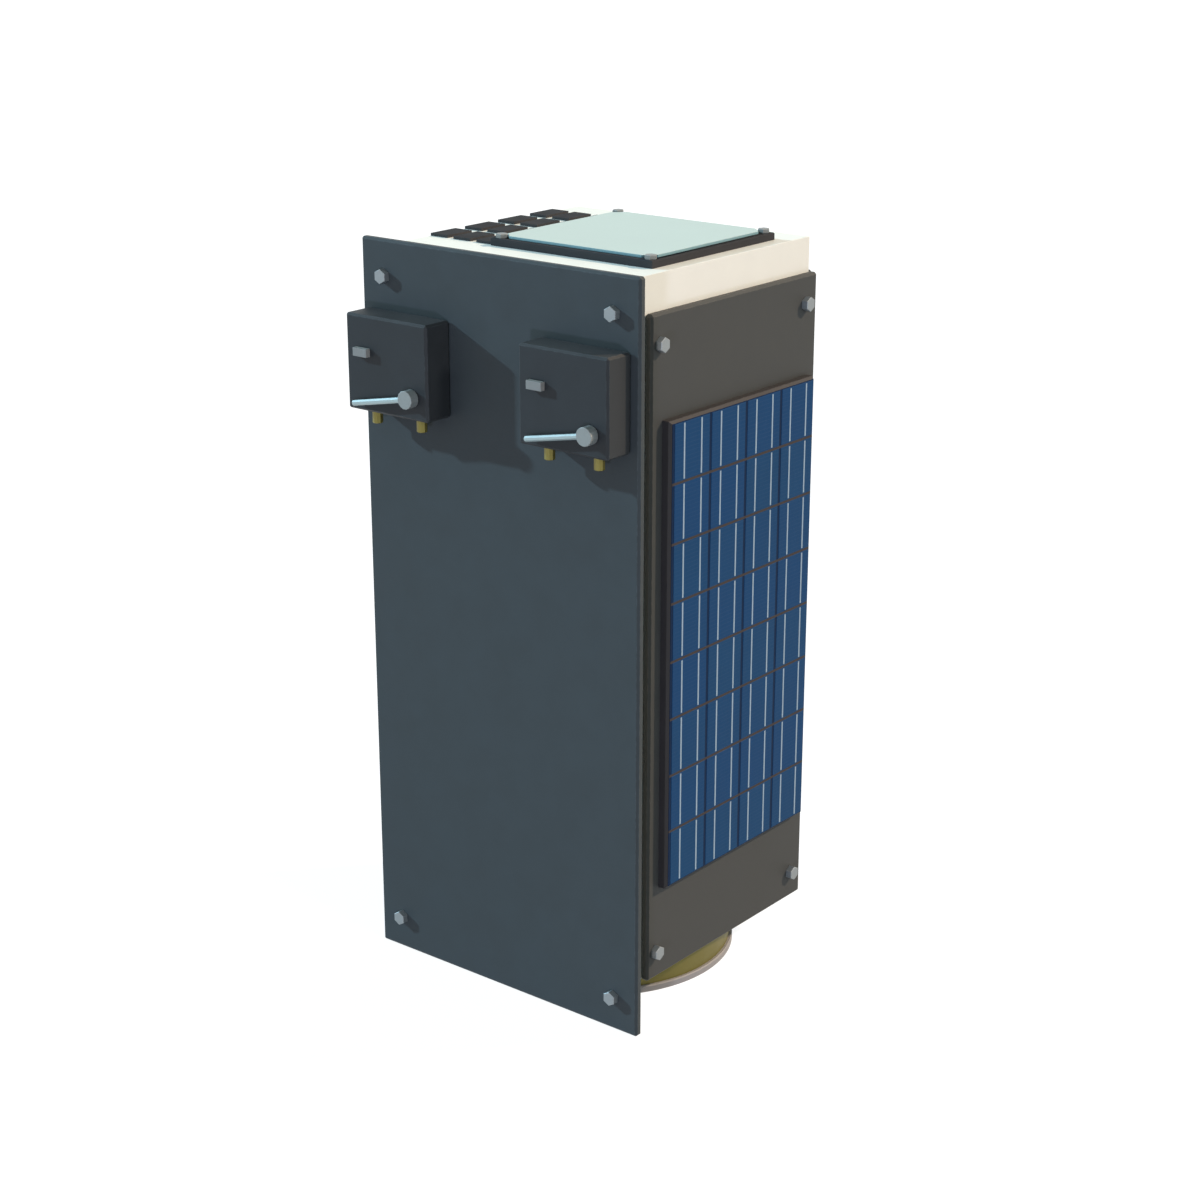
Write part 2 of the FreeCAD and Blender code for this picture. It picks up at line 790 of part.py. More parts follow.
def check_all():
    """Stop if any object failed or any node has no valid solid."""
    for thing in doc.Objects:
        if "Invalid" in thing.State or "Error" in thing.State:
            raise ValueError(f"{thing.Label} failed: {thing.State}")
    for node in NODES:
        shape = doc.getObjectsByLabel(node)[0].Shape
        if shape.isNull() or not shape.isValid() or not shape.Solids:
            raise ValueError(f"{node} has no valid solid")


def write_parts():
    os.makedirs("parts", exist_ok=True)
    for node in NODES:
        shape = doc.getObjectsByLabel(node)[0].Shape
        shape.exportStep(f"parts/{node}.step")
        box_size = shape.BoundBox
        print(f"{node}: {len(shape.Solids)} solids, {shape.Volume:.1f} mm3,"
              f" x {box_size.XMin:.2f} to {box_size.XMax:.2f},"
              f" y {box_size.YMin:.2f} to {box_size.YMax:.2f},"
              f" z {box_size.ZMin:.2f} to {box_size.ZMax:.2f}")


make_all()
check_all()
write_parts()
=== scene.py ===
# %% [markdown]
# # A small satellite, dressed for its picture
#
# This lesson takes a satellite whose solids are already exact and gives it its surfaces:
# painted plates, solar cells, gold posts, brushed bolts and a glass antenna. The real
# object is the size of a milk carton, so a tenth of a millimetre of rounding on an edge
# is all that shows, and that is the scale at which everything here is worked.
#
# The solids come in as a fixed frame. Nothing in the frame is moved or reshaped: a piece
# either keeps its solid and gets a finish, or is modelled again around the same box.

import json
import math

import bmesh
import bpy
from mathutils import Matrix, Vector

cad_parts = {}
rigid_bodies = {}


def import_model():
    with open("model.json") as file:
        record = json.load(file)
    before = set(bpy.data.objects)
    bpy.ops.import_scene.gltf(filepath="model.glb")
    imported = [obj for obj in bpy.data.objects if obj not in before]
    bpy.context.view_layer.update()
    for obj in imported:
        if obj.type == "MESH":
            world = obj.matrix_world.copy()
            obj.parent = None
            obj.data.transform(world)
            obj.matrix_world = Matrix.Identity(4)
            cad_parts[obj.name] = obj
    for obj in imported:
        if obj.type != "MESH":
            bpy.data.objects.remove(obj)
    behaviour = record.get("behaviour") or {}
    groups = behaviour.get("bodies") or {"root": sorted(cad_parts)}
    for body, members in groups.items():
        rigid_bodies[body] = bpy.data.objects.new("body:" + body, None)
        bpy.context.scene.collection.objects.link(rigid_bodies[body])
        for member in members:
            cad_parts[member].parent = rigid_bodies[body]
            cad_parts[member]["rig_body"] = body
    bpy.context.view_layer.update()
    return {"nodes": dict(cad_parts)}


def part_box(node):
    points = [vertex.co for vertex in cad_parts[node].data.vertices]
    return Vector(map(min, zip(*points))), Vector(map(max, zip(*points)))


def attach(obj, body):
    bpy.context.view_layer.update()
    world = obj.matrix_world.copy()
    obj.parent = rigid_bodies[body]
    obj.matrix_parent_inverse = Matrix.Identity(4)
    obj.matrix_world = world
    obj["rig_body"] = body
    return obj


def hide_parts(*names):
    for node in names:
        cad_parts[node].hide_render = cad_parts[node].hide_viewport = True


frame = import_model()
MM = 0.001

# %% [markdown]
# ## Reading places from the solids
#
# Four bolts share one node, and so do thirty-two solar cells. To dress each of them we need
# the box of every separate solid. One could type the places in, but then they would be
# wrong as soon as the model changed. Walking over the mesh and collecting what hangs
# together gives the places for nothing.

# %% Boxes of separate solids

JOIN_DISTANCE = 0.0001 * MM


def solid_mesh(node):
    """A bmesh of a node's solids, with the corners of their triangles joined."""
    mesh = bmesh.new()
    mesh.from_mesh(frame["nodes"][node].data)
    bmesh.ops.remove_doubles(mesh, verts=mesh.verts, dist=JOIN_DISTANCE)
    return mesh


def extent(places):
    """The lowest and highest corner of the box around some places."""
    low = Vector(min(place[axis] for place in places) for axis in range(3))
    high = Vector(max(place[axis] for place in places) for axis in range(3))
    return low, high


def solid_boxes(node):
    """The lowest and highest corner of each separate solid in a node."""
    mesh = solid_mesh(node)
    waiting = set(mesh.verts)
    boxes = []
    while waiting:
        island = [waiting.pop()]
        for vert in island:
            for edge in vert.link_edges:
                other = edge.other_vert(vert)
                if other in waiting:
                    waiting.remove(other)
                    island.append(other)
        boxes.append(extent([vert.co for vert in island]))
    mesh.free()
    return sorted(boxes, key=lambda box: tuple(round(value, 5) for value in box[0]))


print("cells on one side:", len(solid_boxes("right_solar_cells")))

# %% [markdown]
# ## Four sides, one way of building
#
# The satellite has the same kinds of things on each side. If each piece is built flat, with
# "along" to the right, "up" upwards and "out" towards the viewer, one turn carries it onto
# the front, right, left or rear. That keeps every builder free of side-by-side cases.

# %% Side frames

SIDES = {
    "front": (Vector((1, 0, 0)), Vector((0, -1, 0))),
    "right": (Vector((0, 1, 0)), Vector((1, 0, 0))),
    "left": (Vector((0, -1, 0)), Vector((-1, 0, 0))),
    "rear": (Vector((-1, 0, 0)), Vector((0, 1, 0))),
}
UP = Vector((0, 0, 1))


def side_turn(side):
    """The turn that carries (along, up, out) onto the object's axes."""
    along, out = SIDES[side]
    return Matrix((along, UP, out)).transposed().to_4x4()


def side_span(side, box):
    """A box as (low, high) in (along, up, out)."""
    back = side_turn(side).inverted()
    return extent([back @ Vector(corner) for corner in box])


print("the right side faces", tuple(SIDES["right"][1]))

# %% [markdown]
# ## Prisms
#
# Most pieces are prisms: an outline pushed out to a thickness, with its edges eased. A cube
# scaled to each size would do too, but its bevel would be stretched with it. With the
# corners made at their true places, an edge is eased by the same width everywhere.

# %% Prism

BEVEL_PROFILE = 0.6


def rectangle(low_x, low_y, high_x, high_y):
    """The corners of a rectangle, counter-clockwise."""
    return [(low_x, low_y), (high_x, low_y), (high_x, high_y), (low_x, high_y)]


def add_prism(mesh, outline, low, high, place=Matrix.Identity(4), ease=0.0, steps=2):
    """Push an outline in x and y from z=low to z=high, and ease all of its edges."""
    base = [mesh.verts.new((x, y, low)) for x, y in outline]
    top = [mesh.verts.new((x, y, high)) for x, y in outline]
    count = len(outline)
    faces = [mesh.faces.new(list(reversed(base))), mesh.faces.new(top)]
    for number in range(count):
        after = (number + 1) % count
        faces.append(mesh.faces.new((base[number], base[after], top[after], top[number])))
    made = base + top
    if ease:
        edges = dict.fromkeys(edge for face in faces for edge in face.edges)
        result = bmesh.ops.bevel(
            mesh, geom=list(edges), offset=ease, segments=steps, profile=BEVEL_PROFILE,
            affect="EDGES", clamp_overlap=True,
        )
        made = {vert for face in result["faces"] for vert in face.verts}
        made |= {vert for face in mesh.faces if face.is_valid and made & set(face.verts)
                 for vert in face.verts}
    bmesh.ops.transform(mesh, matrix=place, verts=list(made))


# %% [markdown]
# ## Turned pieces
#
# Hexagon heads, shanks, hubs, rods and posts are built around a line. A profile of radius
# and height is carried around z in a chosen number of sides: six make a hexagon head, and
# sixteen pass for round at this size. The screw modifier would do the same, but a function
# that puts each corner in its place is easier to turn, move and repeat.

# %% Lathe


def add_turned(mesh, profile, sides, place=Matrix.Identity(4), phase=0.0):
    """Turn a profile of (radius, height) points around z. Radius 0 closes an end."""
    rings = []
    for radius, height in profile:
        if radius == 0:
            rings.append([mesh.verts.new(place @ Vector((0, 0, height)))])
            continue
        ring = []
        for number in range(sides):
            angle = 2 * math.pi * (number + phase) / sides
            point = Vector((radius * math.cos(angle), radius * math.sin(angle), height))
            ring.append(mesh.verts.new(place @ point))
        rings.append(ring)
    for lower, upper in zip(rings, rings[1:]):
        for number in range(sides):
            after = (number + 1) % sides
            if len(lower) == 1:
                mesh.faces.new((lower[0], upper[after], upper[number]))
            elif len(upper) == 1:
                mesh.faces.new((lower[number], lower[after], upper[0]))
            else:
                mesh.faces.new((lower[number], lower[after], upper[after], upper[number]))


# %% [markdown]
# ## From mesh to piece
#
# A finished mesh becomes an object that rides on its body, takes its finish from a slot and
# stands for its solid. Its faces are shaded flat: a smoothed normal would draw a false
# gradient across a plate.

# %% Finish a piece


def finish_piece(name, mesh, body, material, replaces=()):
    """Make an object from a bmesh and tie it to its body, slot and solids."""
    bmesh.ops.recalc_face_normals(mesh, faces=mesh.faces)
    data = bpy.data.meshes.new(name)
    mesh.to_mesh(data)
    mesh.free()
    piece = bpy.data.objects.new(name, data)
    bpy.context.scene.collection.objects.link(piece)
    data.materials.append(material)
    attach(piece, body)
    if replaces:
        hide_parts(*replaces)
    print(f"{name}: {len(data.polygons)} faces")
    return piece


# %% [markdown]
# ## Easing the edges of a solid
#
# A plate that is cut on a mill and then blasted or painted has no perfectly sharp edge, and
# it is the thin line of light on that edge that makes it look solid. The solid's own mesh
# is copied, its flat triangles are merged back into whole faces, and only the long, sharp
# edges are eased. Short edges, such as the rims of the bolt holes, stay as they are.

# %% Ease a solid's edges

FLAT_ANGLE = math.radians(1)
SHARP_ANGLE = math.radians(20)


def whole_faces(node):
    """A bmesh of a node's solids, with flat triangles merged into whole faces."""
    mesh = solid_mesh(node)
    bmesh.ops.dissolve_limit(mesh, angle_limit=FLAT_ANGLE, verts=mesh.verts, edges=mesh.edges)
    return mesh


def eased_solid(node, ease, material, shortest=1.0 * MM, steps=2):
    """A copy of a node's mesh with its long sharp edges eased; it replaces the node."""
    mesh = whole_faces(node)
    sharp = [
        edge for edge in mesh.edges
        if len(edge.link_faces) == 2
        and edge.calc_face_angle() > SHARP_ANGLE
        and edge.calc_length() > shortest
    ]
    bmesh.ops.bevel(
        mesh, geom=sharp, offset=ease, segments=steps, profile=BEVEL_PROFILE,
        affect="EDGES", clamp_overlap=True,
    )
    body = frame["nodes"][node]["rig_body"]
    finish_piece(f"{node}_eased", mesh, body, material, replaces=(node,))


# %% [markdown]
# ## Shader building blocks
#
# Every finish here is a Principled BSDF fed by a few shared effects. Writing node trees by
# hand is wordy, so a small class adds nodes and links and keeps the tree readable. Effects
# that several finishes use become node groups with named sockets, built once.

# %% A small tree writer


class Tree:
    """Adds nodes to a node tree, with inputs given as values or as other sockets."""

    def __init__(self, tree):
        self.tree = tree

    def add(self, kind, inputs=None, **settings):
        made = self.tree.nodes.new(kind)
        for name, value in settings.items():
            setattr(made, name, value)
        for name, value in (inputs or {}).items():
            self.feed(made.inputs[name], value)
        return made

    def feed(self, socket, value):
        if isinstance(value, bpy.types.NodeSocket):
            self.tree.links.new(value, socket)
        else:
            socket.default_value = value

    def math(self, operation, first, second=0.0, third=None):
        inputs = {0: first, 1: second}
        if third is not None:
            inputs[2] = third
        return self.add("ShaderNodeMath", inputs, operation=operation).outputs[0]

    def mix(self, factor, first, second):
        """The first colour where the factor is 0, the second where it is 1."""
        made = self.add("ShaderNodeMix", data_type="RGBA")
        self.feed(made.inputs["Factor"], factor)
        self.feed(made.inputs[6], first)
        self.feed(made.inputs[7], second)
        return made.outputs[2]

    def fit(self, value, from_low, from_high, to_low=0.0, to_high=1.0):
        return self.add("ShaderNodeMapRange", {
            "Value": value, "From Min": from_low, "From Max": from_high,
            "To Min": to_low, "To Max": to_high,
        }).outputs["Result"]

    def place(self):
        """The object's own coordinates, in metres."""
        return self.add("ShaderNodeTexCoord").outputs["Object"]

    def place_in_mm(self):
        return self.add(
            "ShaderNodeVectorMath", {0: self.place(), 1: (1 / MM,) * 3}, operation="MULTIPLY",
        ).outputs[0]

    def part(self, vector, axis):
        return self.add("ShaderNodeSeparateXYZ", {0: vector}).outputs[axis]

    def normal(self):
        return self.add("ShaderNodeNewGeometry").outputs["Normal"]

    def noise(self, place, scale, detail):
        return self.add(
            "ShaderNodeTexNoise", {"Vector": place, "Scale": scale, "Detail": detail},
        ).outputs["Fac"]

    def bump(self, height, strength, distance):
        return self.add("ShaderNodeBump", {
            "Height": height, "Strength": strength, "Distance": distance,
        }).outputs["Normal"]


# %% [markdown]
# ## Groups and colours
#
# A group's sockets are made on its interface, each with a name and a usual value, so that a
# material says "Reach" or "Amount" where it would otherwise hold a bare number. Colours are
# given in the usual steps from 0 to 255, while nodes take linear values. Typing linear
# values in would work, but nobody can picture them, so a function turns one into the other.

# %% Groups and colours

FLOAT = "NodeSocketFloat"
VECTOR = "NodeSocketVector"


def new_group(name, inputs, outputs):
    """A shader node group with named sockets: (kind, name, default) and (kind, name)."""
    group = bpy.data.node_groups.new(name, "ShaderNodeTree")
    for kind, label, default in inputs:
        socket = group.interface.new_socket(label, in_out="INPUT", socket_type=kind)
        socket.default_value = default
    for kind, label in outputs:
        group.interface.new_socket(label, in_out="OUTPUT", socket_type=kind)
    tree = Tree(group)
    return group, tree, tree.add("NodeGroupInput").outputs, tree.add("NodeGroupOutput").inputs


def linear(red, green, blue):
    """A colour given in the usual 0 to 255 steps, as the linear values that nodes take."""
    steps = [value / 255 for value in (red, green, blue)]
    return [
        step / 12.92 if step <= 0.04045 else ((step + 0.055) / 1.055) ** 2.4 for step in steps
    ] + [1.0]


def toned(colour, factor):
    """A linear colour made darker or lighter, and never brighter than white."""
    return [min(1.0, value * factor) for value in colour[:3]] + [1.0]


print("middle grey as a linear value:", round(linear(128, 128, 128)[0], 3))

# %% [markdown]
# ## Grain
#
# Powder coat, blasted metal and moulded plastic all have a fine skin. Seen from arm's length
# it is a slight unevenness of tone and gloss, and close up it is a relief of thousandths of
# a millimetre. Two noises do it: a broad one for the tone and a fine one for the relief. The
# coordinates are the object's own, in metres, scaled to millimetres.

# %% Grain group

grain_group, tree, given, out = new_group(
    "Grain",
    [(FLOAT, "Fine per mm", 6.0), (FLOAT, "Broad per mm", 0.12)],
    [(FLOAT, "Fine"), (FLOAT, "Broad")],
)
in_mm = tree.place_in_mm()
tree.feed(out["Fine"], tree.noise(in_mm, given["Fine per mm"], detail=2.0))
broad = tree.noise(in_mm, given["Broad per mm"], detail=4.0)
tree.feed(out["Broad"], tree.fit(broad, 0.3, 0.7))
print(grain_group.name, "ready")

# %% [markdown]
# ## Edges: wear and painted highlight
#
# Handling polishes the edges of a coated plate before it touches the faces. The bevel node
# gives the normal as it would be on a more rounded edge; where that differs from the true
# normal, an edge is near. A noise breaks the line up, because real wear is patchy. The same
# mask also places a painted highlight: on the dark plates and cases the edge tone is far
# paler than wear, and stands for the light that their bevels catch.

# %% Edge mask group

wear_and_highlight_group, tree, given, out = new_group(
    "Edge wear and highlight",
    [(FLOAT, "Reach", 0.4 * MM), (FLOAT, "Patches per mm", 0.5), (FLOAT, "Amount", 0.5)],
    [(FLOAT, "Mask")],
)
rounded = tree.add("ShaderNodeBevel", {"Radius": given["Reach"]}, samples=4).outputs["Normal"]
likeness = tree.add(
    "ShaderNodeVectorMath", {0: tree.normal(), 1: rounded}, operation="DOT_PRODUCT",
)
near_edge = tree.fit(likeness.outputs["Value"], 0.995, 0.9)
patches = tree.noise(tree.place_in_mm(), given["Patches per mm"], detail=5.0)
patchy_edge = tree.math("MULTIPLY", near_edge, tree.fit(patches, 0.42, 0.62))
tree.feed(out["Mask"], tree.math("MULTIPLY", patchy_edge, given["Amount"]))
print(wear_and_highlight_group.name, "ready")

# %% [markdown]
# ## Brushed lines
#
# Bolts, posts and rings are turned or drawn, and their surface keeps fine lines in one
# direction. Stretching a noise along that direction makes the lines; the same value moves
# the roughness a little and gives a very low relief.

# %% Brushed lines group

brushed_group, tree, given, out = new_group(
    "Brushed lines",
    [(VECTOR, "Per mm", (0.4, 0.4, 18.0))],
    [(FLOAT, "Lines")],
)
stretched = tree.add(
    "ShaderNodeVectorMath", {0: tree.place_in_mm(), 1: given["Per mm"]}, operation="MULTIPLY",
)
tree.feed(out["Lines"], tree.noise(stretched.outputs[0], 1.0, detail=3.0))
print(brushed_group.name, "ready")

# %% [markdown]
# ## Settled dust
#
# A clean-room object still gathers a little dust on what faces up. The mask is the upward
# part of the normal times a soft noise, and each finish decides how much of it to show.

# %% Dust group

dust_group, tree, given, out = new_group(
    "Settled dust",
    [(FLOAT, "Amount", 0.1), (FLOAT, "Clouds per mm", 0.06)],
    [(FLOAT, "Mask")],
)
flat = tree.fit(tree.part(tree.normal(), "Z"), 0.5, 1.0)
clouds = tree.noise(tree.place_in_mm(), given["Clouds per mm"], detail=6.0)
settled = tree.math("MULTIPLY", flat, tree.fit(clouds, 0.35, 0.75))
tree.feed(out["Mask"], tree.math("MULTIPLY", settled, given["Amount"]))
print(dust_group.name, "ready")

# %% [markdown]
# ## Faint lines
#
# Metal fingers cross the solar cells and conductors cross the deck tiles, both far too thin
# to model. A picture of stripes could be wrapped on instead, but it would have to be drawn
# and fitted. Here the distance along a direction is cut into equal steps, and a thin share
# of each step is marked.

# %% Faint lines group

line_group, tree, given, out = new_group(
    "Faint lines",
    [(VECTOR, "Direction", (0, 0, 1)), (FLOAT, "Pitch in mm", 1.2), (FLOAT, "Share", 0.1),
     (FLOAT, "Amount", 0.1)],
    [(FLOAT, "Mask")],
)
distance = tree.add(
    "ShaderNodeVectorMath", {0: tree.place_in_mm(), 1: given["Direction"]},
    operation="DOT_PRODUCT",
).outputs["Value"]
step = tree.math("FRACT", tree.math("DIVIDE", distance, given["Pitch in mm"]))
thin = tree.math("LESS_THAN", step, given["Share"])
tree.feed(out["Mask"], tree.math("MULTIPLY", thin, given["Amount"]))
print(line_group.name, "ready")

# %% [markdown]
# ## Groups in a material
#
# A material starts with its Principled BSDF, and the groups are placed beside it, with their
# sockets set by name. No real surface is evenly glossy, so the roughness moves a little with
# the same broad grain as the tone.

# %% Material helpers


def group_node(tree, group, **values):
    """A group in a tree, fed by socket names with underscores for their spaces."""
    made = tree.add("ShaderNodeGroup", node_tree=group)
    for name, value in values.items():
        tree.feed(made.inputs[name.replace("_", " ")], value)
    return made


def new_material(name):
    """A material with its tree writer and its Principled BSDF."""
    material = bpy.data.materials.new(name)
    material.use_nodes = True
    tree = Tree(material.node_tree)
    shader = material.node_tree.nodes["Principled BSDF"]
    return material, tree, shader


def uneven_gloss(tree, shader, grain, low, high):
    """A roughness that moves between two values with the broad grain."""
    gloss = tree.fit(grain.outputs["Broad"], 0.0, 1.0, low, high)
    tree.feed(shader.inputs["Roughness"], gloss)


# %% [markdown]
# ## Coatings and mouldings
#
# Paint, anodising, laminate and moulded plastic differ in a handful of numbers, so one
# function builds them all: a base tone with broad variation, a tone along the edges, a
# little dust on top, and a fine relief. The edge tone is wear, and on the dark plates and
# cases also a painted highlight. The shader itself stays in the material.

# %% Coated finish

DUST_TONE = linear(198, 196, 188)
GLOSS_SPREAD = 0.05
COAT_BUMP = 0.35


def coated(name, base, wear_and_highlight, roughness=0.5, variation=0.05, wear=0.5, reach=0.35, dust=0.05,
           fine=7.0, relief=0.004, specular=0.15):
    """A painted, anodised or moulded surface."""
    material, tree, shader = new_material(name)
    grain = group_node(tree, grain_group, Fine_per_mm=fine)
    edge = group_node(tree, wear_and_highlight_group, Reach=reach * MM, Amount=wear)
    settled = group_node(tree, dust_group, Amount=dust)
    base = linear(*base)
    tone = tree.mix(
        grain.outputs["Broad"], toned(base, 1 - variation), toned(base, 1 + variation),
    )
    # The edge tone: wear, and on the dark plates and cases also a painted highlight.
    tone = tree.mix(edge.outputs["Mask"], tone, linear(*wear_and_highlight))
    tone = tree.mix(settled.outputs["Mask"], tone, DUST_TONE)
    tree.feed(shader.inputs["Base Color"], tone)
    uneven_gloss(tree, shader, grain, roughness - GLOSS_SPREAD, roughness + GLOSS_SPREAD)
    bumped = tree.bump(grain.outputs["Fine"], COAT_BUMP, relief * MM)
    tree.feed(shader.inputs["Normal"], bumped)
    shader.inputs["Specular IOR Level"].default_value = specular
    return material


# %% [markdown]
# ## The satellite's coatings
#
# The plates are dark and satin, the housing is nearly white, and the modules are a
# brown-grey laminate under a navy sheet of painted shade. The plates' edge tone is much
# paler than their faces: partly wear and partly a painted highlight, it draws the thin
# light line around them. The housing's hardly differs.

# %% Coatings

# The pale edge tones of the plates and the switch cases are wear and a painted highlight on
# their bevels.
front_paint = coated(
    "Front plate coating", (71, 76, 77), (112, 122, 124), roughness=0.55, wear=0.8, dust=0.03,
)
side_paint = coated(
    "Side plate coating", (74, 75, 73), (122, 118, 110), roughness=0.55, wear=0.8, dust=0.03,
)
housing_white = coated(
    "Housing white", (251, 250, 240), (252, 252, 246), roughness=0.45, variation=0.012,
    wear=0.3, dust=0.04, relief=0.003,
)
case_plastic = coated(
    "Switch case plastic", (57, 59, 60), (106, 116, 116), roughness=0.5, wear=0.6,
    relief=0.006, fine=9.0,
)
block_plastic = coated(
    "Stop block plastic", (156, 152, 145), (180, 178, 172), roughness=0.45, wear=0.3, dust=0.0,
)
board_laminate = coated(
    "Solar board laminate", (62, 59, 58), (68, 62, 60), roughness=0.5, wear=0.2, dust=0.0,
)
# Painted shade: the navy between the strings stands for the shaded sides of the cells.
shade_sheet_navy = coated(
    "Painted shade sheet navy", (8, 36, 68), (26, 52, 84), roughness=0.4, wear=0.1, dust=0.0,
    specular=0.06,
)
# Painted light: the brown lines between the cells stand for their lit upper edges.
lit_edge_brown = coated(
    "Painted lit edge line", (62, 56, 55), (76, 68, 66), roughness=0.6, wear=0.1, dust=0.0,
)
frame_plastic = coated(
    "Antenna frame plastic", (70, 70, 72), (92, 92, 94), roughness=0.5, wear=0.3, dust=0.02,
    specular=0.0,
)
print("coatings:", len(bpy.data.materials))

# %% [markdown]
# ## Metals
#
# Bare metal has no base coat to hide its making, so the brushed lines carry the look. Steel
# and aluminium differ by tone, and gold plating by hue. Roughness moves with the lines, so
# that a highlight breaks into streaks.

# %% Metal finish

LINE_CONTRAST = 0.12
EDGE_GAIN = 1.25
LINE_GLOSS = 0.14
BROAD_GLOSS = 0.06
LINE_BUMP = 0.25
LINE_DEPTH = 0.003 * MM


def metal(name, tone, lines, metallic, roughness):
    """A brushed, drawn or turned metal surface."""
    material, tree, shader = new_material(name)
    brushed = group_node(tree, brushed_group, Per_mm=lines)
    grain = group_node(tree, grain_group, Broad_per_mm=0.3)
    edge = group_node(tree, wear_and_highlight_group, Reach=0.25 * MM, Patches_per_mm=0.8, Amount=0.5)
    base = linear(*tone)
    streaks = brushed.outputs["Lines"]
    colour = tree.mix(streaks, toned(base, 1 - LINE_CONTRAST), toned(base, 1 + LINE_CONTRAST))
    colour = tree.mix(edge.outputs["Mask"], colour, toned(base, EDGE_GAIN))
    tree.feed(shader.inputs["Base Color"], colour)
    uneven = tree.math("MULTIPLY_ADD", streaks, LINE_GLOSS, roughness - LINE_GLOSS / 2)
    gloss = tree.math("MULTIPLY_ADD", grain.outputs["Broad"], BROAD_GLOSS, uneven)
    tree.feed(shader.inputs["Roughness"], gloss)
    tree.feed(shader.inputs["Normal"], tree.bump(streaks, LINE_BUMP, LINE_DEPTH))
    shader.inputs["Metallic"].default_value = metallic
    return material


# %% [markdown]
# ## The satellite's metals
#
# Each metal says how fine its lines are along x, y and z, and the high number is the way
# across them. A hub is turned about y, so its lines are rings that follow each other along
# y. The mounting ring and the posts are turned about z, and the lines of the levers and
# the busbars run along them. Bolts are tumbled, which leaves no direction, so their three
# numbers are the same.

# %% Metals

bolt_steel = metal(
    "Bolt steel", (144, 150, 151), lines=(3.0, 3.0, 3.0), metallic=0.6, roughness=0.45,
)
hub_metal = metal(
    "Hub aluminium", (146, 151, 148), lines=(0.5, 12.0, 0.5), metallic=0.3, roughness=0.42,
)
antenna_bolt_steel = metal(
    "Antenna bolt steel", (140, 143, 141), lines=(3.0, 3.0, 3.0), metallic=0.25, roughness=0.5,
)
lever_metal = metal(
    "Lever steel", (164, 182, 182), lines=(0.3, 9.0, 9.0), metallic=0.5, roughness=0.35,
)
ring_silver = metal(
    "Ring aluminium", (156, 153, 152), lines=(0.25, 0.25, 16.0), metallic=0.15, roughness=0.65,
)
ring_gold = metal(
    "Ring gold", (114, 107, 52), lines=(0.25, 0.25, 12.0), metallic=0.4, roughness=0.5,
)
post_gold = metal(
    "Terminal gold", (128, 118, 58), lines=(0.5, 0.5, 14.0), metallic=0.5, roughness=0.42,
)
busbar_silver = metal(
    "Busbar silver", (150, 172, 188), lines=(4.0, 4.0, 0.4), metallic=0.2, roughness=0.5,
)
print("materials so far:", len(bpy.data.materials))

# %% [markdown]
# ## Solar cell
#
# A cell is a thin wafer with a blue anti-reflection layer and a satin surface. Its metal
# fingers lead to the wide bars, and here they lighten the tone by a few percent. Each cell
# of a string also has a tone of its own. A material for each would be one way, but a value
# that the mesh carries for each face lets all the cells share one material.

# %% Cell finish

OWN_TONE_SHARE = 0.5

cell_blue, tree, shader = new_material("Solar cell blue")
grain = group_node(tree, grain_group, Broad_per_mm=0.08)
fingers = group_node(
    tree, line_group, Direction=(0, 0, 1), Pitch_in_mm=1.2, Share=0.09, Amount=0.04,
)
own_tone = tree.add("ShaderNodeAttribute", attribute_name="cell_tone").outputs["Fac"]
blue = tree.mix(grain.outputs["Broad"], linear(24, 68, 108), linear(30, 72, 112))
blue = tree.mix(tree.math("MULTIPLY", own_tone, OWN_TONE_SHARE), blue, linear(24, 66, 114))
blue = tree.mix(fingers.outputs["Mask"], blue, linear(150, 165, 180))
tree.feed(shader.inputs["Base Color"], blue)
uneven_gloss(tree, shader, grain, low=0.36, high=0.46)
shader.inputs["Specular IOR Level"].default_value = 0.06
print(cell_blue.name, "ready")

# %% [markdown]
# ## Deck tile
#
# The tiles are dark wafers with faint lines of conductors, and edges that are a little
# paler. They reflect nothing sharp, so the tone does all the work.

# %% Tile finish

tile_black, tree, shader = new_material("Deck tile black")
grain = group_node(tree, grain_group, Broad_per_mm=0.2)
edge = group_node(tree, wear_and_highlight_group, Reach=0.2 * MM, Amount=0.25)
conductors = group_node(
    tree, line_group, Direction=(1, 0, 0), Pitch_in_mm=1.6, Share=0.08, Amount=0.08,
)
dark = tree.mix(grain.outputs["Broad"], linear(70, 69, 70), linear(78, 77, 78))
dark = tree.mix(conductors.outputs["Mask"], dark, linear(110, 108, 106))
dark = tree.mix(edge.outputs["Mask"], dark, linear(96, 94, 92))
tree.feed(shader.inputs["Base Color"], dark)
uneven_gloss(tree, shader, grain, low=0.52, high=0.64)
shader.inputs["Specular IOR Level"].default_value = 0.0
print(tile_black.name, "ready")

# %% [markdown]
# ## Antenna glass
#
# The glass over the patch antenna is a thick pale pane, and like all float glass it is
# greener and bluer when one looks into its edge. True refraction would be slow and noisy on
# so small a pane, so the tone follows the normal: pale on the face, blue on the rim.

# %% Glass finish

aqua_glass, tree, shader = new_material("Antenna glass")
grain = group_node(tree, grain_group, Broad_per_mm=0.05)
rim = tree.fit(tree.part(tree.normal(), "Z"), 0.9, 0.4)
pane = tree.mix(grain.outputs["Broad"], linear(191, 209, 201), linear(196, 213, 205))
tree.feed(shader.inputs["Base Color"], tree.mix(rim, pane, linear(146, 186, 192)))
uneven_gloss(tree, shader, grain, low=0.42, high=0.5)
print("materials:", len(bpy.data.materials))

# %% [markdown]
# ## Housing and plates
#
# The housing is a white block, and dark plates are bolted onto its four sides. Their solids
# already have the right outline and bevel, so they only need eased edges: a tenth of a
# millimetre on metal, a little more on the painted block.

# %% Housing and plates

